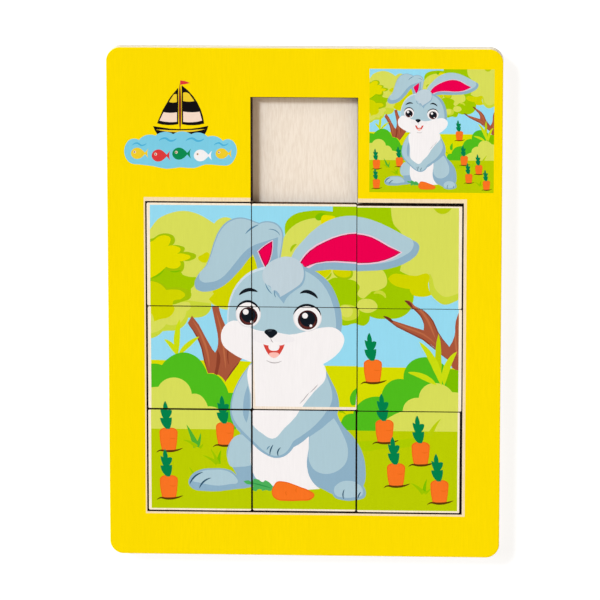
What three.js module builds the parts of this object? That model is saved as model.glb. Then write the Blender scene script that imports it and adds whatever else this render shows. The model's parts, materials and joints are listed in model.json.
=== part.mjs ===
// Sliding tile puzzle: nine loose picture tiles in a wooden tray with one parking bay.
// A frame cut from one thin sheet is glued on a plain back board. The tiles are cut
// from the same sheet, so they lie flush with the frame.
// Millimetres. +Z leaves the printed face and +Y runs towards the parking bay.
// The origin is under the middle of the board, on the surface that it lies on.
import * as THREE from 'three';

// Driving dimensions
const BOARD_WIDTH = 114.8;
const BOARD_LENGTH = 150.5;
const CORNER_RADIUS = 4;
const CORNER_STEPS = 12;
const SHEET = 3.2;
const TILE_SIDE = 30.5;
const TILES_ACROSS = 3;
const NOMINAL_GAP = 0.225;
const BOTTOM_MARGIN = 13.05;
const BAY_WIDTH = 30.9;
const BAY_LENGTH = 30.7;

// How far each loose tile has settled from the middle of its cell, along X and Y.
// Rows run from the bay side down, columns from -X to +X.
const SETTLED = [
  [[0.03, -0.05], [0, -0.12], [-0.07, -0.35]],
  [[0.12, 0], [0.15, 0], [0.08, -0.2]],
  [[-0.03, -0.05], [-0.03, 0.07], [-0.04, -0.04]],
];

// Worked out from them
const PITCH = TILE_SIDE + NOMINAL_GAP;
const FIELD_SIDE = TILES_ACROSS * PITCH + NOMINAL_GAP;
const FIELD_BOTTOM = BOTTOM_MARGIN - BOARD_LENGTH / 2;
const FIELD_TOP = FIELD_BOTTOM + FIELD_SIDE;
const BAY_TOP = FIELD_TOP + BAY_LENGTH;

const woodMaterial = (colour) =>
  new THREE.MeshStandardMaterial({ color: colour, roughness: 0.6, metalness: 0 });

// A rectangle with round corners, centred on the origin.
function boardOutline() {
  const x = BOARD_WIDTH / 2 - CORNER_RADIUS;
  const y = BOARD_LENGTH / 2 - CORNER_RADIUS;
  const quarter = Math.PI / 2;
  const outline = new THREE.Shape();
  outline.absarc(x, -y, CORNER_RADIUS, -quarter, 0);
  outline.absarc(x, y, CORNER_RADIUS, 0, quarter);
  outline.absarc(-x, y, CORNER_RADIUS, quarter, 2 * quarter);
  outline.absarc(-x, -y, CORNER_RADIUS, 2 * quarter, 3 * quarter);
  outline.closePath();
  return outline;
}

// The square field for the tiles, with the parking bay above its middle column.
function trayOpening() {
  const field = FIELD_SIDE / 2;
  const bay = BAY_WIDTH / 2;
  return new THREE.Path([
    new THREE.Vector2(-field, FIELD_BOTTOM),
    new THREE.Vector2(-field, FIELD_TOP),
    new THREE.Vector2(-bay, FIELD_TOP),
    new THREE.Vector2(-bay, BAY_TOP),
    new THREE.Vector2(bay, BAY_TOP),
    new THREE.Vector2(bay, FIELD_TOP),
    new THREE.Vector2(field, FIELD_TOP),
    new THREE.Vector2(field, FIELD_BOTTOM),
  ]);
}

function sheetPiece(name, outline, colour, z) {
  const geometry = new THREE.ExtrudeGeometry(outline, {
    depth: SHEET,
    curveSegments: CORNER_STEPS,
    bevelEnabled: false,
  });
  const piece = new THREE.Mesh(geometry, woodMaterial(colour));
  piece.name = name;
  piece.position.z = z;
  return piece;
}

function backBoard() {
  return sheetPiece('back_board', boardOutline(), 0xeedecd, 0);
}

function topFrame() {
  const outline = boardOutline();
  outline.holes.push(trayOpening());
  return sheetPiece('top_frame', outline, 0xfedd00, SHEET);
}

// One tile, lying on the back board where it has settled in its cell.
function tile(row, column) {
  const [dx, dy] = SETTLED[row][column];
  const geometry = new THREE.BoxGeometry(TILE_SIDE, TILE_SIDE, SHEET);
  const piece = new THREE.Mesh(geometry, woodMaterial(row < 2 ? 0x93d6f5 : 0xbed200));
  piece.name = `tile_r${row + 1}_c${column + 1}`;
  const cellTop = FIELD_TOP - NOMINAL_GAP - row * PITCH;
  piece.position.set(
    (column - (TILES_ACROSS - 1) / 2) * PITCH + dx,
    cellTop - TILE_SIDE / 2 + dy,
    SHEET + SHEET / 2,
  );
  return piece;
}

const puzzle = new THREE.Group();
puzzle.add(backBoard(), topFrame());
for (let row = 0; row < TILES_ACROSS; row += 1) {
  for (let column = 0; column < TILES_ACROSS; column += 1) {
    puzzle.add(tile(row, column));
  }
}

export default puzzle;
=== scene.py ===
"""A sliding tile puzzle: nine printed wooden tiles in a yellow tray with a parking bay.

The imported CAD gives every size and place. Each wooden piece is rebuilt as one fine closed mesh:
its face is cut into areas of a single ink each, its edges are softened and its walls are charred
or sanded. Drawings use complex numbers as points, x + y * 1j.
"""
import cmath
import json
from math import ceil, cos, pi, radians, sin

import bmesh
import bpy
from mathutils import Euler, Matrix, Vector, geometry

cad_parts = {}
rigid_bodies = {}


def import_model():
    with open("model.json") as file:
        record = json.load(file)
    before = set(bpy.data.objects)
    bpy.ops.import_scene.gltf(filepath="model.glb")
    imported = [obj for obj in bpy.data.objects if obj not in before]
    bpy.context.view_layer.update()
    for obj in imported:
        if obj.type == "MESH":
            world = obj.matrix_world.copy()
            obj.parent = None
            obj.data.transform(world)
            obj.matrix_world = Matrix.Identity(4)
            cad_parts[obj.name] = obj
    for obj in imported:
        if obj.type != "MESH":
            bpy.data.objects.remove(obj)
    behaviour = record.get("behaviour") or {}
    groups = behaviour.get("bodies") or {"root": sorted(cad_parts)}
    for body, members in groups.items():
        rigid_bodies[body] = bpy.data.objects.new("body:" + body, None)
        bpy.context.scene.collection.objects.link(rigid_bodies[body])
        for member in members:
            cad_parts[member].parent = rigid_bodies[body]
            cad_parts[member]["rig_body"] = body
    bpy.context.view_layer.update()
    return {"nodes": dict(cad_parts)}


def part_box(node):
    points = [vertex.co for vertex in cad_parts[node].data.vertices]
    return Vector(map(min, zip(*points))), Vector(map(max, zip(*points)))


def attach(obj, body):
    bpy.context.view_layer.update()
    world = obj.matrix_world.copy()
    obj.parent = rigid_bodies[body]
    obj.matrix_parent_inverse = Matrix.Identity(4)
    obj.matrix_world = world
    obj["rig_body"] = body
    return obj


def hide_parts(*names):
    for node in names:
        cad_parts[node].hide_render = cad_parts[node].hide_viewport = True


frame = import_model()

MM = 0.001

# The tiles and the print on them, in millimetres
ROWS = COLUMNS = (1, 2, 3)
TILE_GAP = 0.2
TILE_CORNER = 0.4
PICTURE_SIDE = 90.0
PICTURE_UNITS = 100.0
PRINT_BLEED = 0.27
SMALL_PICTURE_SIDE = 36.0
SMALL_PICTURE_CENTRE = 36.9 + 51.45j
BADGE_CENTRE = -36.0 + 51.55j
BARE_STRIP = {"left": 0.55, "right": 1.0, "top": 1.3, "bottom": 0.75}

# Where the print missed the middle tile: the width of its slivers, in millimetres, and how far those
# at the left and right go up, as shares of the tile's side
MISPRINT = 0.85
LEFT_RISE = 0.72
RIGHT_RISE = 0.2

# Widths of painted shade, in millimetres: at the foot of the bay's left wall and beside two tiles' gaps
BAY_WALL_SHADE_WIDTH = 0.3
GAP_SHADE_WIDTH = 0.19

# How finely the meshes are cut, in millimetres where it is a distance
TURN_STEP = radians(9)
OVAL_POINTS = 40
EDGE_STEPS = 4
JOIN_DISTANCE = 1e-4
EXACT_JOIN = 1e-6
FLAT_TOLERANCE = 0.01
CAD_DIGITS = 3

# How round the rims are, in millimetres: those of the tiles in each row, the opening, the frame's
# outside and the back board. HOLD is the height of the strip that keeps the wall beside a rim flat.
ROW_EDGES = {1: 0.04, 2: 0.07, 3: 0.16}
OPENING_EDGE = 0.15
OUTER_EDGE = 0.2
BOARD_EDGE = 0.15
HOLD = 0.12

# Red, green and blue light that falls on a face that lies flat, as shares of full white. Together
# they are neutral. Inks are divided by their sum, so they show as they are named here.
FLAT_LIGHT = 1.04
SKY_LIGHT = Vector((0.24, 0.20, 0.15))
FILL_LIGHT = Vector((0.17, 0.145, 0.12))
SOFT_LIGHT = Vector((0.29, 0.30, 0.31))
KEY_LIGHT = Vector((FLAT_LIGHT,) * 3) - SKY_LIGHT - FILL_LIGHT - SOFT_LIGHT

INKS = {
    "yellow": "FEDD01",
    "sky": "97DBF1",
    "field": "D8DC00",
    "grass": "BBCC02",
    "grass_shade": "AECB00",
    "lime": "D9DE5A",
    "lime_shade": "CBD83A",
    "leaf_yellow": "E5DC00",
    "leaf_gold": "D2D400",
    "leaf_olive": "A4C206",
    "leaf_green": "A1C800",
    "leaf_deep": "7DBE00",
    "bush": "50BC1C",
    "blade": "4FB030",
    "blade_light": "9CC400",
    "blade_yellow": "CBDD10",
    "blade_shade": "BACD08",
    "trunk": "A8563A",
    "trunk_light": "BC6A45",
    "trunk_tip": "6A3120",
    "trunk_dark": "8A3F2A",
    "carrot": "FA7423",
    "carrot_shade": "EE6A18",
    "carrot_leaf": "02814B",
    "cut_leaf": "4DB05A",
    "cut_leaf_shade": "2F9448",
    "soil": "5E3A0C",
    "fur": "AFCBD5",
    "fur_shade": "8FB1C6",
    "fur_edge": "CFDEE8",
    "fur_line": "5B87A3",
    "tuft": "C1D1D9",
    "white": "F8F3F2",
    "white_shade": "E6E2E3",
    "nose_light": "3A4148",
    "muzzle": "F4EFEF",
    "ear_rose": "EE004F",
    "ear_rim": "F4C8DA",
    "ear_dark": "B00A46",
    "black": "141A22",
    "iris": "3C1A1C",
    "iris_light": "5A2A26",
    "mouth": "D8463C",
    "tongue": "FFC0B4",
    "mouth_line": "B8B0B0",
    "toe_line": "2A5068",
    "badge_sea": "7DCDE4",
    "badge_wave": "4FB2D8",
    "badge_navy": "141012",
    "badge_red": "DE3B3B",
    "badge_green": "0E8A4E",
    "badge_cream": "F9DCC8",
    "badge_gold": "F2CE2C",
}


# ---- Drawing: closed outlines from a few given points, (x, y) or [x, y] at a sharp turn ----


def smooth_line(points, closed=True):
    """Points along a smooth line through the given ones. It turns sharply at those in square brackets."""
    spots = [complex(point[0], point[1]) for point in points]
    count = len(spots)
    spans = [spots[(i + 1) % count] - spots[i] for i in range(count if closed else count - 1)]

    def heading(i):
        """The direction in which the line passes point i, or None where it has a sharp turn or an end."""
        if isinstance(points[i], list) or (not closed and i in (0, count - 1)):
            return None
        before, after = spans[i - 1], spans[i]
        turn = before / abs(before) * abs(after) + after / abs(after) * abs(before)
        return turn / abs(turn)

    line = []
    for i, span in enumerate(spans):
        along = span / abs(span)
        start, end = heading(i), heading((i + 1) % count)
        if start is None and end is None:
            start = end = along
        elif start is None:
            start = along ** 2 * end.conjugate()
        elif end is None:
            end = along ** 2 * start.conjugate()
        turning = abs(cmath.phase(start / along)) + abs(cmath.phase(end / along))
        reach = abs(span) / cos(min(turning, pi) / 4) ** 2
        steps = max(1, ceil(turning / TURN_STEP))
        for k in range(steps):
            line.append(hermite(spots[i], start * reach, spots[i] + span, end * reach, k / steps))
    return line if closed else line + [spots[-1]]


def hermite(start, start_pull, end, end_pull, t):
    """A point on the cubic that leaves start and reaches end with the given pulls."""
    return (
        (2 * t ** 3 - 3 * t ** 2 + 1) * start
        + (t ** 3 - 2 * t ** 2 + t) * start_pull
        + (3 * t ** 2 - 2 * t ** 3) * end
        + (t ** 3 - t ** 2) * end_pull
    )


def anticlockwise(outline):
    swept = sum((a.conjugate() * b).imag for a, b in zip(outline, outline[1:] + outline[:1]))
    return outline if swept > 0 else outline[::-1]


def area(ink, *points):
    return ink, anticlockwise(smooth_line(points))


def oval(ink, x, y, wide, high, tilt=0.0):
    """An ellipse with half-widths wide and high, turned by tilt degrees."""
    turn = cmath.rect(1, radians(tilt))
    steps = [2 * pi * k / OVAL_POINTS for k in range(OVAL_POINTS)]
    return ink, [complex(x, y) + turn * complex(wide * cos(a), high * sin(a)) for a in steps]


def box_outline(low, high):
    return [low, complex(high.real, low.imag), high, complex(low.real, high.imag)]


def round_box(centre, side, corner):
    """A square with round corners."""
    reach = side / 2 - corner
    outline = []
    for quarter in range(4):
        turn = 1j ** quarter
        for k in range(EDGE_STEPS + 1):
            bend = cmath.rect(corner, radians(90) * k / EDGE_STEPS)
            outline.append(centre + turn * (reach + reach * 1j + bend))
    return outline


def swept_line(ink, points, half_width):
    """A brush line along points. half_width gives its half-width at a share of its length, 0 at a point."""
    line = finer(smooth_line(points, closed=False))
    lengths = [0.0]
    for a, b in zip(line, line[1:]):
        lengths.append(lengths[-1] + abs(b - a))
    right, left = [], []
    for i, spot in enumerate(line):
        ahead = line[min(i + 1, len(line) - 1)] - line[max(i - 1, 0)]
        side = ahead / abs(ahead) * 1j * half_width(lengths[i] / lengths[-1])
        right.append(spot - side)
        if abs(side) > JOIN_DISTANCE:
            left.append(spot + side)
    return ink, anticlockwise(right + left[::-1])


def finer(line, pieces=3):
    """The same line with each of its steps cut in pieces."""
    return [a + (b - a) * k / pieces for a, b in zip(line, line[1:]) for k in range(pieces)] + [line[-1]]


def pen(ink, width, *points):
    """A drawn line, pointed at both ends."""
    return swept_line(ink, points, lambda share: width / 2 * max(sin(pi * share), 0) ** 0.6)


def blade(ink, width, *points):
    """A leaf of grass or a branch, from its wide foot to its tip."""
    return swept_line(ink, points, lambda share: width / 2 * (1 - share) ** 0.75)


def leaf(ink, width, *points):
    """A long leaf, widest at a third of its length, from its foot to its tip."""

    def half_width(share):
        return width / 2 * (1 - (1 - share) ** 3) * (1 - share) ** 0.6 * 1.6

    return swept_line(ink, points, half_width)


def moved(shapes, shift, scale=1.0):
    return [(ink, [spot * scale + shift for spot in outline]) for ink, outline in shapes]


# ---- The picture: a rabbit in a carrot garden, 100 units square ----


def land():
    return [
        area("field", [-2, 49.2], (12, 49), (24, 49.4), (33, 48.8), (45, 47.8), [102, 47.5], [102, 20],
             [-2, 20]),
    ]


def left_tree():
    crown = [
        area("lime", (-3, 87), (0.4, 92.8), (2.6, 95.6), (6, 97.4), (11, 98.4), (15.6, 97.4), (18.6, 95.8),
             [20.9, 94.3], (22.6, 95.9), (24.8, 96.4), (28, 95), (35, 88), (37, 79), (33, 70), (27, 66),
             [19.8, 68], [12, 69], [-3, 64], (-6, 75)),
        area("lime_shade", [-2, 66], [12, 69], [19.8, 68], (19.4, 65.8), (17.6, 63.9), (14.8, 63.2),
             [12.2, 63.2], (11.2, 61), (8.4, 59), (5.2, 58.8), [3.8, 58.6], (2, 57), [-2, 56.2]),
        area("lime", [-2, 68], [12.4, 68.4], (13, 66.6), [11.6, 65.4], (10.6, 62.6), (8, 60.8), [5, 61],
             (2.6, 58.8), [-2, 58]),
        area("leaf_gold", (15.6, 83.1), (16.8, 84), (18.8, 84.8), (19.4, 83), (18.4, 81.6), (16.4, 81.8)),
        area("leaf_gold", (28.8, 80), (30, 82.2), (33.2, 83.6), (36, 82), (35, 79), (31, 77), (27, 76.4)),
        area("leaf_gold", [19, 69.4], [20.6, 71.2], (20.2, 72.4), (24.2, 75.6), (29, 77.6), (30, 72),
             [27, 67.2], (21, 67.6)),
    ]
    lobes = [
        area("leaf_green", [-2, 80], (4, 81), (9, 79.4), [10.6, 77.4], (12.4, 76.8), [14.9, 76.7],
             (14.6, 74.6), [13.2, 72.8], (12, 69.6), (6, 71), [-2, 71]),
        area("leaf_olive", [-2, 89.8], (0.6, 89.2), (3, 90.6), (5.8, 90.9), (7.8, 89.9), (8, 88),
             [7.2, 87.1], (9.6, 87), (11.3, 86), [10.7, 84.9], (13, 84.8), (15, 83.6), (13.4, 82.2),
             [10.8, 82], (11.1, 80.4), (10.4, 78.5), (8.2, 78.1), (6.2, 78.6), [5, 79.5], (3, 77),
             [-2, 75.6]),
        area("leaf_yellow", [-2, 88], (0.8, 88.4), (2.8, 89.9), (5, 90.3), (6.6, 89.5), (6.5, 88),
             [5.8, 86.8], (8.4, 86.8), (9.9, 85.8), (9.4, 84.7), [8.6, 84.2], (11.4, 84.2), (13.1, 83.2),
             (11.8, 82.3), [9.6, 81.8], (9.9, 80.7), (9, 79.7), (7.2, 79.4), [5.2, 80], (4.2, 78.9),
             (2.6, 77.3), [-2, 76.3]),
        pen("leaf_deep", 0.6, (0.2, 76.2), (2.8, 77.4), (4.7, 79.4)),
        pen("leaf_deep", 0.5, (6.4, 78.5), (8.3, 78.4), (10.2, 79)),
        area("leaf_olive", [-2, 76], (1, 75.3), (3.6, 74.5), [5.6, 72.9], (8.4, 73.3), (11.2, 72.9),
             (13.3, 71.4), (13, 69.7), (10.6, 68.6), [8, 67.6], [-2, 67]),
        area("leaf_gold", [-2, 75], (2.8, 74.5), [5.2, 72.3], (7.8, 72.5), (10.4, 71.9), (11.3, 70.8),
             (10.2, 69.5), (7.4, 68.5), [7.8, 66.4], (7.2, 64.6), (5.6, 63.2), (3, 62.6), [1, 61.8],
             (0.5, 64), [-2, 66]),
    ]
    trunk = [
        area("trunk", [12, 61.4], [13.4, 63.9], (15.6, 61), (18, 56.4), (20, 52.8), [20.9, 51.7],
             (21.6, 53.2), (21.9, 56), (21.3, 60), [19.9, 66.8], [22.1, 67.2], (23, 63.6), (24.6, 60),
             (27, 55), [30.4, 50.4], (28.4, 48.4), (26.4, 45.4), [24.2, 42], (22.2, 44.2), [18.5, 44.8],
             (17.4, 49), (16.6, 53), (15, 57)),
        area("trunk_dark", [21.6, 52.6], (22.6, 50), (22.2, 47), [21.6, 44.2], [20.6, 44.6], (21.2, 47.4),
             (21.4, 50)),
        pen("trunk_light", 0.7, (13.6, 62.4), (16.4, 57.6), (18.4, 51.6), (19, 46.6)),
        pen("trunk_light", 0.6, (21.3, 65.4), (22.7, 60), (23.6, 54), (24.4, 46)),
        pen("trunk_dark", 0.45, (26, 56), (25, 52), (25.4, 47.6)),
        pen("trunk_dark", 0.5, (12.1, 61.2), (15.1, 56.8), (16.7, 52.8), (17.4, 49), (18.5, 45)),
        pen("trunk_dark", 0.5, (24.3, 42.3), (26.3, 45.5), (29.2, 49.2)),
    ]
    reeds = [
        leaf("blade_yellow", 1.8, (8.5, 50.6), (7, 53.6), (4.3, 56)),
        leaf("blade_yellow", 2.2, (8.6, 50.6), (8.4, 56), (9.4, 62.6)),
        leaf("blade_yellow", 1.8, (8.8, 50.6), (11.4, 53.6), (15.7, 57)),
    ]
    return crown + lobes + trunk + reeds


def right_tree():
    fringe = ([90.8, 72.4], (92.8, 70), (95.4, 68.6), (98.4, 69.4), [102, 72])
    canopy = [
        area("leaf_green", [59.2, 104], [59.2, 98.6], (55.6, 99), (51, 98.7), (46.8, 97.6), (44.2, 95.2),
             (43.7, 91.6), (46, 86), (52, 80), (56, 72), (60, 62), (63, 61), (66.2, 61.8), (69.6, 61.4),
             [71.2, 64.4], (74, 63.6), [77, 63.8], (80.4, 63.9), (84, 66.2), (85.6, 71), (84, 80),
             [84, 104]),
        area("lime", (41, 83), (42.4, 87), (43.6, 90.4), (46.2, 93.6), (50.4, 95.8), (56, 96), (60, 90),
             (54, 84), (47, 80)),
        area("leaf_deep", (53.6, 96.5), (54.4, 97.8), (56.4, 98), [58.2, 97.4], (56, 97.2), (55.6, 96),
             (54.4, 95.7)),
        area("leaf_yellow", (55.4, 96), (56, 97.3), (57.6, 97.4), [60, 97], [60, 94]),
        pen("leaf_olive", 0.9, (45.7, 85.2), (46.2, 86.8), (47.6, 87.8)),
        area("lime", [78.2, 104], (78.2, 98), (78.9, 95), (81.4, 92), (82, 86), [81, 79.6], (84.4, 78),
             (90, 77), *fringe, [102, 104]),
        area("blade_shade", [92, 104], (92.2, 99.6), (94.6, 98.3), (97, 99.4), [97.8, 104]),
        area("lime_shade", [90.4, 78.6], (90.4, 75), *fringe, [102, 78], (96, 79)),
        area("lime", [90.4, 79.4], (91.6, 77), (92.2, 74.4), (93.6, 72.4), (95.6, 71.2), (98, 71.6),
             [102, 74], [102, 84], (94, 84)),
        area("leaf_gold", [77.2, 77], (79, 78.6), (82, 78.4), (86, 78), (90.4, 78.4), (90.2, 75),
             [91.2, 71.8], (88, 71.1), (84.8, 72.1), [84.2, 73.7], (81, 74.2), (78.4, 75.4)),
    ]
    lobes = [
        area("lime", (56.8, 75.8), (60, 77), (62.4, 76.5), (66, 76.1), (68, 74.4), (67.4, 71.6),
             [69.4, 70.4], [72, 72.8], (74.6, 73.4), (76.6, 74.8), (76.8, 77), [75.4, 79.8], [54, 80]),
        area("leaf_gold", [53.2, 79.6], (54.6, 77.6), (56.4, 76.7), (57.6, 77.4), [58.8, 79.6]),
        pen("leaf_olive", 0.7, (56.7, 76.2), (57.9, 77), (58.8, 78.6)),
        area("leaf_olive", (59.4, 78.6), (61, 76.8), (63.4, 76.3), (65.7, 77.6), [65.4, 79.6]),
        area("leaf_gold", (59.4, 79), (61.2, 77.4), (63.2, 77), (65, 77.8), [64.8, 79.6]),
        area("lime", (67.6, 69.4), (70.4, 70.3), (73, 69.4), (73.8, 67.6), (72, 65.9), (69, 65.8),
             (67.4, 67)),
        area("lime_shade", [61.6, 67.6], (65, 68), [67.4, 67], (67.4, 64.2), (65, 62.8), (62, 63.4),
             (61.6, 65)),
        area("lime", [62.2, 67.8], (64.6, 67.6), (65.6, 65.6), (64, 63.8), (62.2, 64.4)),
        pen("lime_shade", 1.2, (72.6, 72), (75.4, 72.2), (76.4, 70.6)),
    ]
    wood = [
        area("trunk", [82.6, 69.9], (84, 69.8), (86, 68), (89.3, 65.7), (91.4, 63), (93, 59.4), [97, 54.6],
             (98.6, 58), (99, 63), [100.4, 66.8], [104, 60], [104, 45], (99.4, 46.8), [98, 47.6],
             (96.4, 50.3), (94, 52.4), (91.6, 54.8), (88.6, 56.8), (84.4, 58.8), (80, 61), [75.6, 64.4],
             (79, 63), (84, 61.4), [88.6, 60], (88.6, 62.4), (87.4, 65), (85.4, 67)),
        pen("trunk_light", 0.7, (84.4, 68.8), (88.6, 65.4), (90.8, 61.4), (92.6, 57)),
        pen("trunk_light", 0.55, (77.8, 63.1), (83, 60.8), (88.6, 58.6), (93, 55)),
        pen("trunk_light", 0.6, (99, 60), (99, 56), (99.8, 51)),
        pen("trunk_dark", 0.5, (75.8, 64.2), (80, 61.1), (88.6, 56.9), (93.9, 52.5), (96.3, 50.4)),
        pen("trunk_tip", 0.9, (75.5, 64.5), (77.2, 63.7), (78.8, 62.6)),
        pen("trunk_tip", 0.8, (82.5, 69.8), (83.7, 69.2), (85.2, 67.4)),
        pen("trunk_dark", 0.4, (86, 68.1), (89.4, 65.7), (91.6, 63), (93.2, 59.4), (96.9, 54.7)),
        pen("trunk_dark", 0.5, (82.7, 69.7), (85.5, 67), (87.5, 65), (88.7, 62)),
    ]
    return canopy + lobes + wood


def bushes():
    return [
        area("bush", [-2, 47.2], (1.4, 47.9), [3.5, 47.4], (6, 50), (10.5, 51.7), (15, 50.1), (17.2, 47.4),
             [18.4, 44.7], (21.4, 44.2), (23.8, 41.6), [25.2, 38.4], [27, 38.4], [28, 24], [-2, 24]),
        area("lime", [-2, 39.8], [2.3, 40.2], (4.6, 42.6), (8, 43.3), (11.2, 41.9), [13.2, 37.9],
             (15.6, 37.7), (17.4, 36), [18.4, 33.8], (22, 33), (24.4, 30), [26, 24], [-2, 24]),
        area("bush", [61, 24], (61.8, 28), (63.4, 31.2), [66, 31.8], (66.8, 34.2), (69.4, 36.8),
             (72.4, 37.8), [75, 37.8], (76, 41), (78.6, 43.3), [82.2, 43.7], (82.6, 46.8), (85.2, 50),
             (89, 51.1), (93.4, 50), [96.2, 47.4], (99, 47), [103, 46], [103, 24]),
        area("leaf_deep", [96.2, 47.4], (99, 47), [103, 46], [103, 38], [96, 40]),
        area("lime", [73.6, 24], (75, 28.4), (78, 31), [82, 32.9], (82.6, 35.4), (85, 37.3), [87.2, 37.6],
             (88, 40.2), (90.4, 42.2), (93.4, 42.5), (96.2, 41.4), [98, 39.6], [103, 39.2], [103, 24]),
        area("bush", [66.9, 40.4], (65.1, 38.4), (64.7, 36.4), (65.8, 34.6), [66.9, 35.6]),
        leaf("blade_shade", 2.2, (94, 44), (93.4, 51), (93.5, 59)),
        leaf("blade_yellow", 2.6, (94.6, 41.6), (92.2, 49), (87.2, 56.2)),
        leaf("blade_yellow", 2.4, (95.4, 41.6), (96.2, 47.6), (99.4, 53)),
        leaf("blade_yellow", 2.0, (93, 41.8), (89.4, 44.2), (83.6, 46)),
    ]


def grass():
    ground = [
        area("grass", [-2, 26.3], [102, 26.3], [102, -2], [-2, -2]),
        area("grass_shade", [66, 22.6], (78, 23.2), (88, 22.6), (84, 21), (76, 20.4), (68, 20.2)),
    ]
    tufts = [
        blade("blade", 2.2, (14.9, 20.4), (13.4, 24), (11.6, 27.8)),
        blade("blade", 1.5, (15, 20.4), (15.8, 22.6), (16.2, 25)),
        blade("blade_light", 1.4, (14.8, 20.4), (13, 21.8), (10.4, 22.6)),
        blade("blade_light", 1.0, (15.8, 20.1), (16.4, 20.5), (17, 21.4)),
        blade("leaf_deep", 1.5, (22, 14.8), (22.2, 17), (22.9, 19.4)),
        blade("blade_light", 1.3, (21.8, 14.8), (20.8, 17.4), (19.4, 20)),
        blade("blade_light", 1.3, (21.6, 14.8), (19.4, 16.4), (16.8, 17.6)),
        blade("blade_shade", 1.8, (91, 24.8), (92.4, 27.8), (94.6, 30.6)),
        blade("leaf_deep", 1.4, (89.2, 5.6), (89.4, 8), (90.1, 10.4)),
        blade("blade_light", 1.5, (89, 5.6), (87, 7.6), (84.8, 9)),
        blade("blade_light", 1.0, (89.4, 5.6), (90.6, 6.4), (91.6, 7.4)),
        blade("blade_light", 1.0, (14.6, 10.4), (13.4, 12), (12.4, 13.6)),
        blade("blade_light", 0.9, (61.4, 32.6), (62.8, 32.2), (63.8, 31.4)),
    ]
    return ground + tufts


CARROTS = (
    (5.7, 22.9), (5.7, 7), (24.2, 24.9), (72.2, 46.4), (76.2, 26.3), (88, 19), (80, 11.8), (94.2, 6.3),
)


def carrot(x, y):
    """A carrot in the ground, around the middle of what shows of its root."""
    shapes = [
        area("carrot_shade", (-2.95, 1.4), (-2.85, 2.8), (-1.9, 3.6), (0, 3.75), (1.9, 3.6), (2.85, 2.8),
             (2.95, 1.4), (2.7, -1.4), [2.3, -3.8], (0, -4.2), [-2.2, -3.8], (-2.7, -1.4)),
        area("carrot", (-2.65, 1.4), (-2.5, 2.6), (-1.7, 3.3), (0, 3.45), (1.7, 3.3), (2.5, 2.6),
             (2.65, 1.4), (2.4, -1.4), [2, -3.8], (0, -4), [-1.9, -3.8], (-2.4, -1.4)),
        pen("carrot_shade", 0.3, (0.3, 0.3), (1.3, 0.1), (2.4, 0.3)),
        area("carrot_leaf", [-0.7, 3.3], (-1.9, 4.6), (-2.5, 5.8), [-2.75, 7], [-1.8, 7], (-2.4, 8.5),
             [-2.7, 10.2], [-1.8, 9.8], (-1.8, 11.4), [-1.2, 12.6], (-0.6, 11.4), [-0.3, 9.6], (0.4, 9.8),
             [1.15, 9.5], (0.9, 8.2), [0.2, 7.1], [1.1, 7.2], (1, 5.3), [0.4, 3.3]),
        pen("soil", 0.75, (-4, -4.6), (-3, -3.9), (-0.8, -4.1), (1.6, -4), (4.7, -3)),
    ]
    return moved(shapes, complex(x, y))


def right_ear():
    back = ([45.4, 80], (46, 84), (49.6, 89), (54.6, 93.8), (60, 96.5), (66, 97.3), (71.4, 96.4), (78, 93.6))
    return [
        area("fur_shade", *back, (84.2, 90.2), (87.2, 88), (86.8, 85.6), (84.2, 83), (80, 81), (74, 79.7),
             (66, 79.3), (58, 79.6), (53, 79)),
        area("fur", *back, [83.6, 90.6], (85.4, 88.8), (85, 86.8), (82, 84.4), (76, 82.2), (68, 81.6),
             (60, 82), (54, 81.4), (50, 79.6)),
        area("ear_rim", [47.9, 80.9], (51.4, 86), (56.6, 89.2), (62, 91.2), (67, 91.9), (72.2, 90.9),
             (77.2, 88.1), [81.8, 85.7], (78.2, 83.4), (74, 82.1), (68, 81.5), (60, 82), (54, 81.4),
             (50.2, 79.7)),
        area("ear_dark", [48.4, 81.3], (51.8, 85.7), (56.9, 88.8), (62, 90.8), (67, 91.5), (72, 90.5),
             (77, 87.7), [81.3, 85.7], (78, 83.8), (74, 82.5), (68, 82), (60, 82.4), (54, 81.7),
             [49.7, 79.9]),
        area("ear_rose", [48.8, 81.2], (52, 85.4), (57, 88.5), (62, 90.5), (67, 91.2), (72, 90.2),
             (77, 87.4), [80.8, 85.7], (78, 84.1), (74, 82.8), (68, 82.3), (60, 82.7), (54, 82),
             [49.7, 80.3]),
    ]


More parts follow.
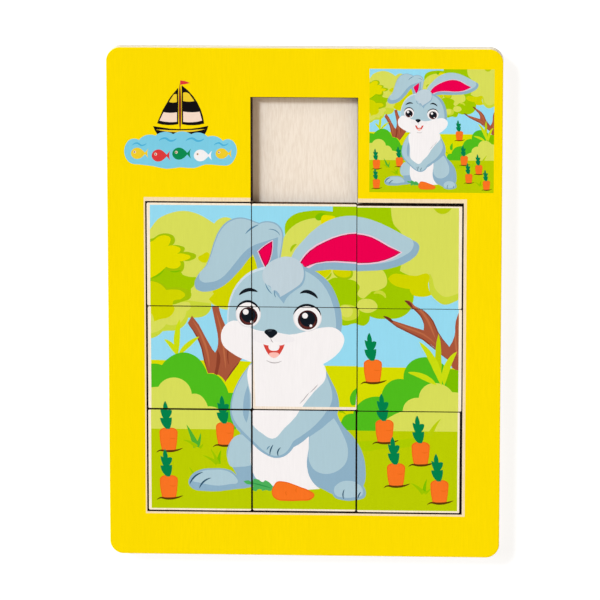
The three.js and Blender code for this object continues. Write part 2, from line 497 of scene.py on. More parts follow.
def left_ear():
    return [
        area("fur_shade", (14.4, 74.4), (15.4, 77.2), (18.2, 80.6), (19.8, 85), (21.8, 91), (25, 95),
             (29.4, 96.4), (33, 95.6), [35.4, 94.7], (38.4, 95.3), (41.6, 94.2), (43.2, 91.6), (43, 87.6),
             (42.4, 83.6), [41, 79], [35, 79], (34.3, 82), [33.4, 84.4], (31.8, 82.6), (29.6, 79.6),
             (26.6, 76.3), (23.8, 73.9), (20.8, 72.4), (18.4, 71.9), (16, 72.1), (14.7, 73)),
        area("fur", (15.9, 77.2), (18.6, 80.8), (20.2, 85), (22.2, 90.8), (25.3, 94.6), (29.4, 96),
             (33, 95.2), [35.4, 94.3], (38.3, 94.9), (41.2, 93.9), (42.8, 91.4), (42.6, 87.6),
             [41.6, 81.6], (41.3, 86), [41.6, 90.1], (38, 88.9), (34.4, 87.7), (31.6, 86), (29, 83.2),
             (26.8, 80.4), (24.2, 77.3), (21.8, 75.6), (19.4, 75), (17.2, 75), (16.1, 75.8)),
        area("ear_rim", [34.8, 85.4], (37, 87.4), [39.9, 89.2], (39.6, 84.6), [37.4, 79.4], (36, 82.4)),
        area("ear_dark", [35.1, 85.3], (37.1, 87.2), [39.7, 88.8], (39.4, 84.6), [37.5, 79.9],
             (36.3, 82.4)),
        area("ear_rose", [35.5, 85.3], (37.3, 86.9), [39.4, 88.2], (39, 84.6), [37.5, 80.7], (36.6, 82.6)),
        pen("fur_line", 0.5, (30.9, 90.9), (32.8, 92.8), (35.4, 94.2)),
        pen("fur_line", 0.3, (38.4, 92.6), (40.8, 92.2), (42.2, 90.6)),
    ]


LEFT_FLANK = ([33, 49], (30, 45), (27.3, 40), (25.9, 35), (26, 31), (27, 28))
RIGHT_FLANK = ((61.1, 36), (60, 40), (58, 44), [56, 48])


def body():
    return [
        area("fur_shade", *LEFT_FLANK, (29.2, 25), (25.8, 22), (24.8, 17), (27, 13), [29, 9], [40, 7],
             (55, 7), (60, 4.6), (66, 4.4), (69.4, 8), (70, 14), (68.6, 20), (65.8, 24.4), (62.8, 27.6),
             (60.8, 31.6), *RIGHT_FLANK),
        area("fur", (25, 16), (25.4, 20), (27, 23.6), (30, 24.6), [33, 22], [33, 14.4], (28.8, 13.8),
             (26, 14)),
        area("fur", [59.6, 30.4], (62.6, 25), (64.3, 20), (63.4, 15), (60.4, 12.4), (57, 11.6),
             (53.6, 12.7), (51.6, 16), (51.5, 20), [51.8, 24], (56, 27)),
        area("white", [33, 22], (36, 19), (44, 19.4), [51.6, 24.2], (51.5, 20), (50.9, 16), (51.3, 12),
             (52.7, 9), [55.2, 6.6], (45, 6.4), [34.4, 9.4], (32.8, 13.4), (32.5, 18)),
    ]


def arms_and_chest():
    return [
        area("fur_shade", *LEFT_FLANK, (29.4, 25), (32.2, 22.4), (34.8, 19.7), (37.2, 18), (40.2, 16.8),
             (43.2, 17.2), (45.2, 18.6), (46.5, 20.3), (47.3, 21.7), (49.8, 23), (53.4, 25.2),
             (57.2, 28.2), (60.8, 31.8), *RIGHT_FLANK),
        area("fur", [33, 49], (30.4, 45), (27.7, 40), (26.3, 35), (26.5, 31.4), (27.8, 28.4), (30, 25.8),
             (32.8, 23), (35.3, 20.4), (37.6, 18.6), (40.2, 17.5), (42.8, 17.9), (44.5, 19.2),
             (45.6, 20.8), (46.4, 22.3), (48.8, 24), (52, 26.4), (55.2, 29.6), (57.6, 33), (59, 37),
             (58.6, 40.4), (57.3, 44), [55.6, 48]),
        area("fur_shade", [31.5, 41], (30.5, 38), (30, 34.6), (30.2, 31), [31.2, 28.6], (31.9, 31),
             (32.2, 35), (32.1, 38)),
        area("white", [32, 47.6], (31.3, 44.4), (31.7, 41.4), (32.5, 38), (32.6, 33), (33.2, 27.8),
             (36.2, 25), (39.6, 23.2), (43.6, 26.8), (47.4, 30.8), (49.6, 34.6), (53, 39), [56, 42],
             (57, 45), [55.4, 49], [44, 54]),
        pen("mouth_line", 0.3, (48.2, 34.8), (49.8, 36.6), (51.6, 39)),
        pen("mouth_line", 0.3, (51.6, 38.6), (53.2, 40.2), (54.4, 41.6)),
        pen("toe_line", 0.45, (38.8, 17.7), (39, 19.3), (39.9, 21.2)),
        pen("toe_line", 0.45, (41.6, 17.3), (41.4, 18.9), (42.4, 20.3)),
        pen("fur_line", 0.35, (37.8, 19.4), (38.2, 20.2), (38.9, 20.8)),
    ]


def feet():
    return [
        area("fur_shade", (12.2, 8), (13, 10.7), (16, 12.7), (20, 13.2), (26, 12.6), (29, 10.4),
             (33, 10.6), (35, 8.4), (33, 7.2), (28, 6.4), (22.4, 5.6), (17.4, 5.6), (13.6, 6.3)),
        area("fur", (13.4, 9.2), (14.4, 10.9), (16.8, 12.3), (20.4, 12.8), (25, 12.3), (27.4, 10.6),
             (28.3, 8.7), (25.8, 8), (21.8, 7.4), (18.4, 7.8), (15.6, 8.4)),
        pen("toe_line", 0.55, (12.5, 7.7), (14, 10.2), (17, 11.9)),
        pen("toe_line", 0.55, (15.7, 6.4), (17, 8.6), (19.6, 10)),
        area("fur_shade", (59.2, 6.4), (61, 8.9), (64.5, 9.8), (67.6, 9.2), (69.8, 7), (70, 4.4), (67, 3),
             (62.6, 2.9), (59.8, 4)),
        area("fur", (59.8, 6.6), (61.5, 8.7), (64.5, 9.4), (67.1, 8.8), (69, 6.9), (69, 4.9), (66.4, 3.9),
             (62.8, 3.8), (60.4, 4.5)),
        pen("toe_line", 0.4, (63, 3.2), (62.7, 4.8), (63.2, 6.5)),
        pen("toe_line", 0.4, (67.6, 3.6), (67.9, 4.8), (68.6, 5.8)),
    ]


def head():
    crown = ((24.9, 62), (25.4, 68), (28.2, 74.6), (32.6, 78.7), (38, 80.4))
    return [
        area("fur_shade", *crown, (45.6, 81.2), (53, 79.3), (57.6, 75.8), (60.4, 71), (61.9, 65.4),
             (61.8, 59), (57, 51), (43.5, 48), (30, 51)),
        area("fur_edge", *crown, [42, 80], (40, 60), (30, 51)),
        area("fur", (25.3, 62), (25.9, 68), (28.8, 74.3), (33.1, 78.1), (38, 79.7), (45, 80.6),
             (51.6, 78.4), (55.8, 75), (58.4, 70.6), (59.8, 65.4), (60, 59), (56, 51), (43.5, 48),
             (30, 51)),
        area("white", (26.9, 62.4), (24, 60.6), (22.8, 57.4), (23.5, 54.2), (26, 51.9), (29.2, 50),
             (33, 48.6), (43, 44.6), (55.5, 48), (59, 50.2), (62, 53.5), (62.8, 57), (60.1, 60.1),
             (55.3, 60.3), (50, 58.9), (45, 57.9), (41, 58.6), (37, 58.9), (33.7, 59.5), (30.2, 61.5)),
        area("muzzle", (33.6, 58.8), (36.6, 58.6), (41, 58.2), (45, 57.6), (46.6, 56.4), (44, 55.2),
             (40, 55.6), (36.2, 55), (33.4, 56.4)),
    ]


def eye(x, y, wide, high, iris):
    """An open eye with its lashes. iris is the radius of the iris."""
    return [
        oval("white_shade", x, y, wide + 0.35, high + 0.3),
        oval("white", x, y, wide, high),
        oval("iris", x + 0.05, y - 0.7, iris, iris),
        oval("iris_light", x + 0.05, y - 0.7 - 0.25 * iris, iris * 0.8, iris * 0.68),
        oval("black", x + 0.05, y - 0.45, iris * 0.77, iris * 0.77),
        oval("white", x - 0.8, y + 0.7, 0.92, 0.92),
        oval("white", x + 1.1, y - 2.6, 0.45, 0.45),
        swept_line("black", ((x - wide - 0.35, y + 0.9), (x - wide * 0.6, y + high * 0.86),
                             (x, y + high + 0.15), (x + wide * 0.64, y + high * 0.82),
                             (x + wide + 0.1, y + 0.6)),
                   lambda share: 0.4 * max(sin(pi * share), 0) ** 0.7),
    ]


def face():
    features = [
        pen("black", 1.2, (28.8, 70.8), (30.6, 72.2), (32.4, 72.7), (34.9, 72)),
        pen("black", 1.2, (48.6, 71.6), (50.6, 72.3), (52.6, 71.7), (54.4, 70)),
        area("black", (36.9, 58.8), (37.9, 59.6), (39, 59.7), (40.3, 59.5), (41.1, 58.6), (40.2, 57.4),
             (39, 56.7), (37.8, 57.6)),
        oval("nose_light", 38.7, 59.1, 0.7, 0.22, 10),
        pen("mouth_line", 0.3, (38.9, 56.7), (39.2, 55.9), (39.8, 55.2)),
        area("mouth", [36.5, 54.7], (38.2, 54.3), (40, 54.8), (41.8, 54.3), [43.5, 54.7], (42.4, 52.2),
             (41, 50.5), (40, 50.1), (39, 50.5), (37.6, 52.2)),
        area("white", [38.4, 54.6], (40, 55), [41.6, 54.6], (41.3, 52.8), (40, 52.5), (38.7, 52.8)),
        area("tongue", (38.4, 51.2), (40, 52), (41.6, 51.2), (40.8, 50.4), (40, 50.1), (39.2, 50.4)),
        pen("mouth_line", 0.35, (37.4, 49.4), (40, 48.5), (42.6, 49.2)),
    ]
    return eye(31.7, 64.6, 3.7, 4.1, 2.95) + eye(50.9, 63.5, 4.3, 4.2, 3.2) + features


def forelock():
    return [
        area("fur_shade", [37, 75.2], (39.2, 73.4), (41, 71.2), [43.4, 68.2], (44.2, 70), (46.8, 72.4),
             (49.4, 74.4), (50.4, 78), [49.4, 81.4], (44, 81)),
        area("tuft", (36.4, 77.6), (37.8, 80.8), (41, 83), (45, 83.7), (48.6, 82), (49.9, 78.6),
             (49.2, 75.4), (46.4, 73), (43.6, 71.2), [42.2, 70.4], (41.6, 71.8), (40.4, 72.6), [39.4, 72],
             (39.2, 73.6), (37.2, 75)),
        pen("fur_line", 0.35, (37.4, 75), (38.2, 73), (39.6, 71.4)),
        pen("fur_line", 0.3, (40.4, 72.6), (40.4, 71.2), (40.9, 70.2)),
    ]


def lying_carrot():
    return [
        area("cut_leaf", [39.9, 6.6], (38.9, 8.3), [37.2, 9.3], (36.5, 8.7), (35, 9.5), [33.4, 9.7],
             (33.2, 9), (31.6, 9.3), [30.2, 9], (31.2, 8.1), (33, 7.7), [33.4, 7.2], (33.1, 6.4),
             [34.4, 5.6], (35.3, 6.3), [36.4, 5.6], (37.6, 6), (38.8, 5.7)),
        pen("cut_leaf_shade", 0.4, (31.8, 8.6), (35.6, 7.7), (39.6, 6.6)),
        area("carrot_shade", (40, 7.4), (40.9, 8.7), (43.6, 8.9), (46.4, 8.1), (49.2, 7), (51.8, 6),
             (53.4, 4.4), (52.6, 3.2), (48.6, 2.5), (44, 2.4), (41, 2.8), (39.6, 4.2), (39.4, 5.8)),
        area("carrot", (40.3, 7.3), (41.2, 8.4), (43.6, 8.5), (46.3, 7.8), (49, 6.7), (51.4, 5.7),
             (53, 4.3), (52.2, 3.5), (48.4, 2.9), (44, 2.8), (41.2, 3.2), (39.9, 4.4), (39.7, 5.8)),
        pen("carrot_shade", 0.35, (44.4, 4.2), (44, 5), (44.2, 5.8)),
        pen("carrot_shade", 0.35, (47.6, 6.8), (47.3, 6), (47.6, 5.2)),
    ]


def picture():
    """All shapes of the picture, from the back to the front."""
    scenery = land() + left_tree() + right_tree() + bushes() + grass()
    carrots = [shape for spot in CARROTS for shape in carrot(*spot)]
    rabbit = (
        right_ear() + left_ear() + body() + arms_and_chest() + feet() + head() + forelock() + face()
    )
    return scenery + carrots + rabbit + lying_carrot()


def picture_on(centre, side, bleed=0.0):
    """The box that the print fills and the picture's shapes, in millimetres, with its middle at centre.
    bleed is how far the print goes on above and below the picture's square."""
    scale = side / PICTURE_UNITS
    corner = centre - (side + side * 1j) / 2
    box = box_outline(corner - bleed * 1j, corner + side + (side + bleed) * 1j)
    return box, moved(picture(), corner, scale)


# ---- The badge beside the bay: a small sailing boat on a wave ----


def fish(ink, x, y, size):
    """A little fish that swims to the left."""
    shapes = [
        area(ink, (-1.5, -0.1), (-0.9, 0.95), (0.1, 1.1), (0.9, 0.6), [1.3, 0.15], [2, 0.95], (1.8, 0),
             [2, -0.95], [1.3, -0.15], (0.9, -0.6), (0.1, -1.1), (-0.9, -1)),
        oval("badge_cream", -0.75, 0.25, 0.26, 0.26),
        oval("badge_navy", -0.8, 0.25, 0.13, 0.13),
    ]
    return moved(shapes, complex(x, y), size)


def badge():
    """Shapes in millimetres around the middle of the badge."""
    boat = [
        pen("trunk_dark", 0.8, (0, -1), (0, 6), (0, 13.6)),
        area("badge_navy", [0.5, 12.8], (3.7, 9.8), (6, 5.8), [7, 1.6], (4, 1.1), [0.5, 1.4]),
        area("badge_navy", [-0.5, 12.1], (-2.9, 9.2), (-5.1, 5.4), [-6.7, 1.6], (-3.6, 1.1), [-0.5, 1.4]),
        area("badge_gold", [0.9, 10.6], (1.9, 10.7), [2.7, 10.3], [4.2, 8.2], (2.6, 8), [0.9, 8.2]),
        area("badge_gold", [-0.9, 10.1], (-1.5, 10.2), [-2, 9.8], [-3.2, 7.9], (-2, 7.7), [-0.9, 7.9]),
        area("badge_cream", [0.9, 5.1], (3.4, 4.9), [5.7, 5.1], [6.4, 2.5], (3.6, 2), [0.9, 2.1]),
        area("badge_cream", [-0.9, 4.9], (-2.8, 4.7), [-4.8, 4.9], [-6, 2.4], (-3.4, 2), [-0.9, 2.1]),
        area("badge_red", [0.1, 14.2], (1.5, 14), [3, 13.4], (1.3, 13.1), [0.1, 12.9]),
        area("badge_navy", [-7.9, 0.8], (-3, 0.1), (3, 0.1), [8.2, 1], (6.8, -2), (4.4, -4), (-4.4, -4),
             (-6.4, -2)),
        pen("badge_gold", 0.6, (-7.1, -0.2), (0, -0.7), (7.3, 0)),
    ]
    sea = [
        area("badge_sea", (-16, -5), (-14.6, -3.2), [-12, -3.3], (-10, -1.9), [-7.2, -2], (-5, -0.9),
             [-2, -1.5], (0.4, -0.7), [3.2, -1.5], (5.6, -1), [8, -2.2], (10.4, -2.1), [12.4, -3.4],
             (14.6, -3), (16.2, -4.8), (16, -8.2), (14.4, -10.3), (11, -10.5), (7.4, -10.3), (4, -11.4),
             (0, -11.2), (-4, -11.7), (-8, -10.9), (-11.6, -10.5), (-14.8, -9.9), (-16.1, -8)),
        pen("badge_wave", 0.5, (-14, -4.9), (-12.6, -4.2), (-11.2, -4.9), (-9.8, -4.2)),
        pen("badge_wave", 0.6, (-6.2, -3.5), (-4.5, -2.7), (-2.7, -3.5), (-1, -2.7)),
        pen("badge_wave", 0.6, (1.6, -3.5), (3.4, -2.7), (5.2, -3.5), (7, -2.7)),
        pen("badge_wave", 0.5, (9.8, -4.7), (11.2, -4), (12.6, -4.7), (14, -4)),
    ]
    shoal = (
        fish("badge_gold", -12.2, -7.2, 1.45) + fish("badge_red", -6, -7.8, 1.55)
        + fish("badge_green", 0, -7.2, 1.55) + fish("white", 6.2, -7.7, 1.5)
        + fish("badge_gold", 12.3, -7.1, 1.35)
    )
    return boat + sea + shoal


# ---- Meshes: painted sheets with soft edges ----


def rims(faces):
    """The closed rims of a face that is cut into smaller ones, each rim with the face on its left."""
    sides = {pair for face in faces for pair in zip(face, list(face[1:]) + [face[0]])}
    following = {a: b for a, b in sides if (b, a) not in sides}
    found = []
    while following:
        start, spot = following.popitem()
        rim = [start]
        while spot != start:
            rim.append(spot)
            spot = following.pop(spot)
        found.append(rim)
    return found


def cad_rims(node):
    """The rims of a CAD node's top face, in millimetres, the outer one first."""
    mesh = frame["nodes"][node].data
    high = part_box(node)[1].z - FLAT_TOLERANCE * MM
    spots = [
        complex(round(v.co.x / MM, CAD_DIGITS), round(v.co.y / MM, CAD_DIGITS)) for v in mesh.vertices
    ]
    flat = [p.vertices for p in mesh.polygons if all(mesh.vertices[i].co.z > high for i in p.vertices)]
    found = rims([[spots[i] for i in face] for face in flat])
    return sorted(found, key=lambda rim: -max(abs(spot) for spot in rim))


def outward(rim):
    """For each point of a rim, the mitred step that moves its wall out by one unit."""
    steps = []
    for i, spot in enumerate(rim):
        before, after = spot - rim[i - 1], rim[(i + 1) % len(rim)] - spot
        first, second = -1j * before / abs(before), -1j * after / abs(after)
        steps.append((first + second) / (1 + (first.conjugate() * second).real))
    return steps


def drawn_in(rim, distance):
    return [spot - distance * step for spot, step in zip(rim, outward(rim))]


def partition(outlines):
    """Cuts the plane along outlines: its points, its triangles, and the outlines around each triangle."""
    corners, faces = [], []
    for outline in outlines:
        first = len(corners)
        corners += [Vector((spot.real, spot.imag)) for spot in outline]
        faces.append(list(range(first, len(corners))))
    points, _, triangles, _, _, around = geometry.delaunay_2d_cdt(corners, [], faces, 1, JOIN_DISTANCE)
    return [complex(*point) for point in points], triangles, around


def edge_rows(bottom, top, edge):
    """(outset, height) of each row of a wall, from the top face round both edges to the bottom face."""
    quarter = [radians(90) * k / EDGE_STEPS for k in range(EDGE_STEPS + 1)]
    upper = [(edge * sin(a), top - edge * (1 - cos(a))) for a in quarter[1:]]
    lower = [(edge * cos(a), bottom + edge * (1 - sin(a))) for a in quarter]
    return upper + [(edge, top - edge - HOLD), (edge, bottom + edge + HOLD)] + lower


def sheet_piece(name, points, faces, inks, edges, wall_inks, rim_inks):
    """One closed sheet, as high as its CAD node. points, faces and inks are its painted top, in millimetres.
    edges, wall_inks and rim_inks say how round each rim is and what its wall and its edge are made of,
    the outer rim first."""
    low, high = (corner.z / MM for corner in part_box(name))
    solid = bmesh.new()
    palette = []

    def slot_of(ink):
        if ink not in palette:
            palette.append(ink)
        return palette.index(ink)

    def vertex(spot, height):
        return solid.verts.new((spot.real * MM, spot.imag * MM, height * MM))

    def face(corners, ink, smooth):
        made = solid.faces.new(corners)
        made.material_index = slot_of(ink)
        made.smooth = smooth

    top = {i: vertex(points[i], high) for i in sorted({i for triangle in faces for i in triangle})}
    for triangle, ink in zip(faces, inks):
        face([top[i] for i in triangle], ink, False)
    floor_rims, floor_corners = [], []
    rim_list = sorted(rims(faces), key=lambda rim: -max(abs(points[i] - points[rim[0]]) for i in rim))
    for rim, edge, wall_ink, rim_ink in zip(rim_list, edges, wall_inks, rim_inks):
        line = [points[i] for i in rim]
        steps = outward(line)
        above = [top[i] for i in rim]
        rows = edge_rows(low, high, edge)
        for number, (outset, height) in enumerate(rows):
            below = [vertex(spot + outset * step, height) for spot, step in zip(line, steps)]
            ink = rim_ink if number < EDGE_STEPS else wall_ink
            for k in range(len(rim)):
                face([above[k], above[k - 1], below[k - 1], below[k]], ink, True)
            above = below
        floor_rims.append(line)
        floor_corners += above
    close_bottom(solid, floor_rims, floor_corners, slot_of("bare_wood"))
    solid.normal_update()
    mesh = bpy.data.meshes.new(name + "_wood")
    solid.to_mesh(mesh)
    solid.free()
    for ink in palette:
        mesh.materials.append(finish_of(ink))
    piece = bpy.data.objects.new(name + "_wood", mesh)
    bpy.context.scene.collection.objects.link(piece)
    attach(piece, frame["nodes"][name]["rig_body"])
    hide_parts(name)
    return piece


def close_bottom(solid, floor_rims, floor_corners, slot):
    """Fills the bottom face between its rims."""
    corners, faces = [], []
    for number, line in enumerate(floor_rims):
        first = len(corners)
        corners += [Vector((spot.real, spot.imag)) for spot in line]
        order = list(range(first, len(corners)))
        faces.append(order if number == 0 else order[::-1])
    result = geometry.delaunay_2d_cdt(corners, [], faces, 1, EXACT_JOIN)
    triangles, sources, around = result[2], result[3], result[5]
    for triangle, inside in zip(triangles, around):
        if len(inside) == 1:
            ring = [floor_corners[sources[i][0]] for i in reversed(triangle)]
            solid.faces.new(ring).material_index = slot


def painted(layers):
    """Cuts a face into triangles of one ink each. A layer is (ink, outline, number of the layer that clips
    it or None). Later layers lie on top, and the ink None is a hole. Gives the points and, for what is
    left, the triangles, their inks and the layers around each."""
    points, triangles, around = partition([outline for _, outline, _ in layers])
    kept, inks, holders = [], [], []
    for triangle, inside in zip(triangles, around):
        shown = [k for k in inside if layers[k][2] is None or layers[k][2] in inside]
        ink = layers[max(shown)][0] if shown else None
        if ink is not None:
            kept.append(triangle)
            inks.append(ink)
            holders.append(inside)
    return points, kept, inks, holders


# ---- Materials ----

# Where a Mix node takes its two colours and gives the blend
MIX_FIRST = 6
MIX_SECOND = 7
MIX_RESULT = 2


def linear(code):
    """A screen colour as linear light, by the sRGB curve, divided by the light on a flat face."""
    values = [int(code[i:i + 2], 16) / 255 for i in (0, 2, 4)]
    lit = [v / 12.92 if v <= 0.04045 else ((v + 0.055) / 1.055) ** 2.4 for v in values]
    return [min(v / FLAT_LIGHT, 1.0) for v in lit] + [1.0]


def link(tree, source, output, target, entry):
    tree.links.new(source.outputs[output], target.inputs[entry])


def stretched_noise(tree, stretch, scale, detail, roughness=0.5):
    """Noise in the object's own space, drawn out along the axes where stretch is small."""
    place = tree.nodes.new("ShaderNodeTexCoord")
    mapping = tree.nodes.new("ShaderNodeMapping")
    mapping.inputs["Scale"].default_value = stretch
    noise = tree.nodes.new("ShaderNodeTexNoise")
    noise.inputs["Scale"].default_value = scale
    noise.inputs["Detail"].default_value = detail
    noise.inputs["Roughness"].default_value = roughness
    link(tree, place, "Object", mapping, "Vector")
    link(tree, mapping, "Vector", noise, "Vector")
    return noise


def ranged(tree, source, output, low, high, from_low=0.3, from_high=0.7):
    """The value of an output, moved from one range to another."""
    node = tree.nodes.new("ShaderNodeMapRange")
    node.inputs["From Min"].default_value = from_low
    node.inputs["From Max"].default_value = from_high
    node.inputs["To Min"].default_value = low
    node.inputs["To Max"].default_value = high
    link(tree, source, output, node, "Value")
    return node


def mixed(tree, first, second, factor):
    """A blend of two colours by the Result of the factor node. Either colour may be a node with a Result."""
    node = tree.nodes.new("ShaderNodeMix")
    node.data_type = "RGBA"
    link(tree, factor, "Result", node, "Factor")
    for entry, colour in ((MIX_FIRST, first), (MIX_SECOND, second)):
        if isinstance(colour, bpy.types.Node):
            link(tree, colour, MIX_RESULT, node, entry)
        else:
            node.inputs[entry].default_value = colour
    return node


def tinted(colour, factor):
    return [min(channel * factor, 1.0) for channel in colour[:3]] + [1.0]


def new_material(name, specular):
    material = bpy.data.materials.new(name)
    material.use_nodes = True
    shader = material.node_tree.nodes["Principled BSDF"]
    shader.inputs["Specular IOR Level"].default_value = specular
    return material, material.node_tree, shader


def add_bump(tree, shader, height, strength, depth):
    bump = tree.nodes.new("ShaderNodeBump")
    bump.inputs["Strength"].default_value = strength
    bump.inputs["Distance"].default_value = depth
    link(tree, height, 0, bump, "Height")
    link(tree, bump, "Normal", shader, "Normal")


def printed_ink(name, code):
    """Ink on sanded wood: the grain under it shows as fine lines, and its density drifts a little."""
    material, tree, shader = new_material("ink_" + name, 0.2)
    base = linear(code)
    shader.inputs["Specular Tint"].default_value = base
    fibre = stretched_noise(tree, (1, 0.08, 1), 2600, 3)
    drift = stretched_noise(tree, (1, 0.3, 1), 90, 2)
    fine = mixed(tree, tinted(base, 0.975), tinted(base, 1.02), ranged(tree, fibre, 0, 0, 1))
    colour = mixed(tree, fine, tinted(base, 0.965), ranged(tree, drift, 0, 0, 0.6))
    link(tree, colour, MIX_RESULT, shader, "Base Color")
    rough = ranged(tree, fibre, 0, 0.46, 0.6)
    link(tree, rough, "Result", shader, "Roughness")
    add_bump(tree, shader, fibre, 0.12, 0.02 * MM)
    return material


def bare_wood(name, pale, deep):
    """Sanded basswood: close fibres along the board and a few longer darker ones."""
    material, tree, shader = new_material(name, 0.2)
    fibre = stretched_noise(tree, (1, 0.12, 1), 2400, 4, 0.6)
    streak = stretched_noise(tree, (1, 0.04, 1), 600, 2)
    drift = stretched_noise(tree, (1, 0.25, 1), 60, 2)
    fine = mixed(tree, linear(deep), linear(pale), ranged(tree, fibre, 0, 0, 1, 0.32, 0.6))
    streaked = mixed(tree, fine, linear(deep), ranged(tree, streak, 0, 0, 0.35, 0.55, 0.8))
    colour = mixed(tree, streaked, tinted(linear(pale), 0.96), ranged(tree, drift, 0, 0, 0.5))
    link(tree, colour, MIX_RESULT, shader, "Base Color")
    shader.inputs["Roughness"].default_value = 0.68
    add_bump(tree, shader, fibre, 0.35, 0.04 * MM)
    return material


def plywood_edge(name, node, face_code, core_code):
    """The sawn and sanded edge of three-ply: two face plies, a core of end grain and two glue lines."""
    low, high = (corner.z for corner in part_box(node))
    material, tree, shader = new_material(name, 0.2)
    place = tree.nodes.new("ShaderNodeTexCoord")
    split = tree.nodes.new("ShaderNodeSeparateXYZ")
    link(tree, place, "Object", split, "Vector")
    height = ranged(tree, split, "Z", 0, 1, low, high)
    plies = tree.nodes.new("ShaderNodeValToRGB")
    face_colour, core_colour = linear(face_code), linear(core_code)
    glue = tinted(core_colour, 0.8)
    stops = [
        (0.0, face_colour), (0.27, face_colour), (0.29, glue), (0.33, core_colour),
        (0.67, core_colour), (0.71, glue), (0.73, face_colour), (1.0, face_colour),
    ]
    ramp = plies.color_ramp
    ramp.elements[0].position, ramp.elements[0].color = stops[0]
    ramp.elements[1].position, ramp.elements[1].color = stops[-1]
    for position, colour in stops[1:-1]:
        ramp.elements.new(position).color = colour
    link(tree, height, "Result", plies, "Fac")
    pores = stretched_noise(tree, (1, 1, 0.5), 1700, 3, 0.6)
    ply_mix = tree.nodes.new("ShaderNodeMix")
    ply_mix.data_type = "RGBA"
    ply_mix.blend_type = "MULTIPLY"
    ply_mix.inputs["Factor"].default_value = 1.0
    link(tree, plies, "Color", ply_mix, MIX_FIRST)
    shade = ranged(tree, pores, 0, 0.9, 1.03)
    link(tree, shade, "Result", ply_mix, MIX_SECOND)
    link(tree, ply_mix, MIX_RESULT, shader, "Base Color")
    shader.inputs["Roughness"].default_value = 0.7
    add_bump(tree, shader, pores, 0.3, 0.05 * MM)
    return material


def burnt_wood(name, deep, pale):
    """Laser-cut wood: dark, with upright striations where the beam has burned less."""
    material, tree, shader = new_material(name, 0.15)
    stripes = stretched_noise(tree, (1, 1, 0.08), 1600, 3, 0.6)
    colour = mixed(tree, linear(deep), linear(pale), ranged(tree, stripes, 0, 0, 1, 0.4, 0.75))
    link(tree, colour, MIX_RESULT, shader, "Base Color")
    shader.inputs["Roughness"].default_value = 0.8
    add_bump(tree, shader, stripes, 0.5, 0.08 * MM)
    return material


FINISHES = {
    "bare_wood": lambda: bare_wood("bare_wood", "FAEBD9", "EBD8C2"),
    "bare_margin": lambda: bare_wood("bare_margin", "FFF0D8", "F6DFC0"),
    "frame_margin": lambda: bare_wood("frame_margin", "FAE3BA", "EFD2A4"),
    "frame_edge": lambda: plywood_edge("frame_edge", "top_frame", "F6EAC6", "E3D2A8"),
    "board_edge": lambda: plywood_edge("board_edge", "back_board", "EFE8D8", "DDD0B8"),
    # Burnt wood for the charred rims of the cuts; the same material paints shade at the bay wall's foot and
    # beside two gaps.
    "char_and_painted_shade": lambda: burnt_wood("char_and_painted_shade", "0E0602", "2E1808"),
    "cut_wall": lambda: burnt_wood("cut_wall", "341C0C", "694426"),
}
made_finishes = {}


def finish_of(name):
    """The material for an ink or a wood finish, made once."""
    if name not in made_finishes:
        made = FINISHES[name]() if name in FINISHES else printed_ink(name, INKS[name])
        made_finishes[name] = made
    return made_finishes[name]


# ---- The pieces ----


def opening():
    """The outline of the tray's opening, anticlockwise."""
    return cad_rims("top_frame")[1][::-1]


def field_centre():
    """The middle of the square field that holds the nine tiles."""
    across = [spot.real for spot in opening()]
    lowest = min(spot.imag for spot in opening())
    return complex((min(across) + max(across)) / 2, lowest + (max(across) - min(across)) / 2)


def tile_node(row, column):
    return f"tile_r{row}_c{column}"


def node_centre(node):
    low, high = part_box(node)
    middle = (low + high) / (2 * MM)
    return complex(middle.x, middle.y)


def make_tiles():
    """The nine tiles, cut from one print and moved to where each lies in its cell."""
    low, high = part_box(tile_node(2, 2))
    side = (high.x - low.x) / MM
    pitch = side + TILE_GAP
    centre = field_centre()
    cells = {
        (row, column): centre + pitch * complex(column - 2, 2 - row) for row in ROWS for column in COLUMNS
    }
    layers = [
        ("bare_margin", round_box(middle, side - 2 * ROW_EDGES[row], TILE_CORNER), None)
        for (row, column), middle in cells.items()
    ]
    square, shapes = picture_on(centre, PICTURE_SIDE, PRINT_BLEED)
    print_number = len(layers)
    layers.append(("sky", square, None))
    layers += [(ink, outline, print_number) for ink, outline in shapes]
    layers += [("bare_wood", outline, None) for outline in misprint(cells[2, 2], side)]
    # Dark strips painted beside the gaps to the frame: painted shade of those gaps.
    layers += [("char_and_painted_shade", outline, None) for outline in gap_shade_strips(cells, side / 2)]
    points, triangles, inks, around = painted(layers)
    for number, (cell, middle) in enumerate(cells.items()):
        chosen = [k for k, inside in enumerate(around) if number in inside]
        node = tile_node(*cell)
        shift = node_centre(node) - middle
        piece = sheet_piece(
            node,
            [point + shift for point in points],
            [triangles[k] for k in chosen],
            [inks[k] for k in chosen],
            [ROW_EDGES[cell[0]]],
            ["cut_wall"],
            ["char_and_painted_shade"],
        )


def misprint(centre, side):
    """Slivers of the middle tile that its print missed: a strip at the foot and a wedge on each side."""
    reach = side / 2
    low_left, low_right = centre - reach - reach * 1j, centre + reach - reach * 1j
    return [
        box_outline(low_left, low_right + MISPRINT * 1j),
        [low_left, low_left + MISPRINT, low_left + LEFT_RISE * 1j * side],
        [low_right - MISPRINT / 2, low_right, low_right + RIGHT_RISE * 1j * side],
    ]


def gap_shade_strips(cells, reach):
    """Strips of painted shade beside the gaps to the frame: atop the top right tile, down the bottom right
    one's outer side.
    """
    corner = reach + reach * 1j
    top, side = cells[1, 3] + corner, cells[3, 3] + corner
    return [
        box_outline(top - 2 * reach - (ROW_EDGES[1] + GAP_SHADE_WIDTH) * 1j, top),
        box_outline(side - (ROW_EDGES[3] + GAP_SHADE_WIDTH) - 2 * reach * 1j, side),
    ]


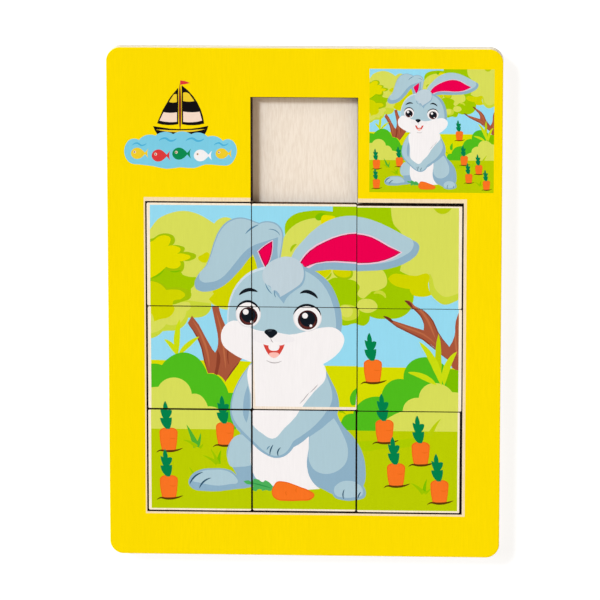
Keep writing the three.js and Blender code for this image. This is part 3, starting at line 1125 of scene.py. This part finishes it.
def make_frame():
    """The yellow frame with its small picture, its badge and the bare strip round the field."""
    outer, hole = cad_rims("top_frame")
    hole = hole[::-1]
    outline = drawn_in(outer, OUTER_EDGE)
    widened = [spot + OPENING_EDGE * step for spot, step in zip(hole, outward(hole))]
    centre = field_centre()
    reach = centre.imag - min(spot.imag for spot in hole)
    strip = box_outline(
        centre - complex(reach + BARE_STRIP["left"], reach + BARE_STRIP["bottom"]),
        centre + complex(reach + BARE_STRIP["right"], reach + BARE_STRIP["top"]),
    )
    square, shapes = picture_on(SMALL_PICTURE_CENTRE, SMALL_PICTURE_SIDE)
    layers = [("yellow", outline, None), ("frame_margin", strip, None), ("sky", square, None)]
    print_number = len(layers) - 1
    layers += [(ink, shape, print_number) for ink, shape in shapes]
    layers += [(ink, shape, None) for ink, shape in moved(badge(), BADGE_CENTRE)]
    layers.append((None, widened, None))
    points, triangles, inks, _ = painted(layers)
    piece = sheet_piece(
        "top_frame",
        points,
        triangles,
        inks,
        [OUTER_EDGE, OPENING_EDGE],
        ["frame_edge", "cut_wall"],
        ["yellow", "char_and_painted_shade"],
    )


def bay_corners():
    """The corners of the parking bay: those of the opening near its middle."""
    spots = opening()
    reach = max(spot.real for spot in spots)
    return [spot for spot in spots if abs(spot.real) < reach / 2]


def make_back_board():
    """The board under the frame and the tiles, with shade painted at the foot of the bay's left wall."""
    outline = drawn_in(cad_rims("back_board")[0], BOARD_EDGE)
    bay = bay_corners()
    corner = complex(min(spot.real for spot in bay), max(spot.imag for spot in bay))
    bay_foot = min(spot.imag for spot in bay)
    # A dark strip painted along the foot of the bay's left wall: painted shade in that corner.
    wall_foot_shade = box_outline(complex(corner.real, bay_foot), corner + BAY_WALL_SHADE_WIDTH)
    points, triangles, inks, _ = painted([("bare_wood", outline, None), ("char_and_painted_shade", wall_foot_shade, None)])
    piece = sheet_piece(
        "back_board", points, triangles, inks, [BOARD_EDGE], ["board_edge"], ["board_edge"]
    )


# ---- The studio: floor, light and camera ----

FLOOR_SIZE = 6.0
FLOOR_DROP = 0.00002
FLOOR_ALBEDO = 0.28
FLOOR_GLOW = 0.81
LAMPS = (
    # Its name, its light, the direction towards it, and how wide it looks, in degrees
    ("key", KEY_LIGHT, Vector((-0.8, 0.65, 1.0)), 12),
    ("soft", SOFT_LIGHT, Vector((-1.6, 0.8, 1.0)), 60),
    ("fill", FILL_LIGHT, Vector((1.4, -1.1, 1.0)), 80),
)
CAMERA_TILT = Euler((radians(10.64), radians(-2.80), radians(-0.51)))
CAMERA_DISTANCE = 1.2
CAMERA_OFFSET = Vector((-0.00123, 0.01715))
CAMERA_LENS = 246.2
CAMERA_REACH = 100


def make_floor():
    bpy.ops.mesh.primitive_plane_add(size=FLOOR_SIZE, location=(0, 0, -FLOOR_DROP))
    floor = bpy.context.object
    floor.name = "studio_floor"
    material, _, shader = new_material("studio_floor", 0.0)
    shader.inputs["Base Color"].default_value = (FLOOR_ALBEDO,) * 3 + (1,)
    shader.inputs["Emission Color"].default_value = (1, 1, 1, 1)
    shader.inputs["Emission Strength"].default_value = FLOOR_GLOW
    shader.inputs["Roughness"].default_value = 0.9
    floor.data.materials.append(material)


def make_lamp(name, share, direction, width):
    """A distant soft lamp. share is the light that it throws on a face that lies flat."""
    lamp = bpy.data.lights.new(name, "SUN")
    lamp.color = share / max(share)
    lamp.energy = max(share) * pi / direction.normalized().z
    lamp.angle = radians(width)
    holder = bpy.data.objects.new(name, lamp)
    holder.rotation_euler = direction.to_track_quat("Z", "Y").to_euler()
    bpy.context.scene.collection.objects.link(holder)


def make_light():
    world = bpy.data.worlds.new("studio")
    bpy.context.scene.world = world
    world.use_nodes = True
    world.node_tree.nodes["Background"].inputs["Color"].default_value = (*SKY_LIGHT, 1)
    for lamp in LAMPS:
        make_lamp(*lamp)
    bpy.context.scene.view_settings.view_transform = "Standard"


def make_camera():
    """A long lens, almost straight above the field and leaning a little towards the bay."""
    centre = field_centre()
    aim = Vector((centre.real * MM, centre.imag * MM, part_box("top_frame")[1].z))
    camera = bpy.data.objects.new("camera", bpy.data.cameras.new("camera"))
    camera.data.lens = CAMERA_LENS
    camera.data.clip_end = CAMERA_REACH
    turn = CAMERA_TILT.to_matrix().transposed().to_4x4()
    offset = Matrix.Translation((CAMERA_OFFSET.x, CAMERA_OFFSET.y, CAMERA_DISTANCE))
    camera.matrix_world = Matrix.Translation(aim) @ turn @ offset
    bpy.context.scene.collection.objects.link(camera)
    bpy.context.scene.camera = camera


make_camera()
make_light()
make_floor()
make_back_board()
make_frame()
make_tiles()
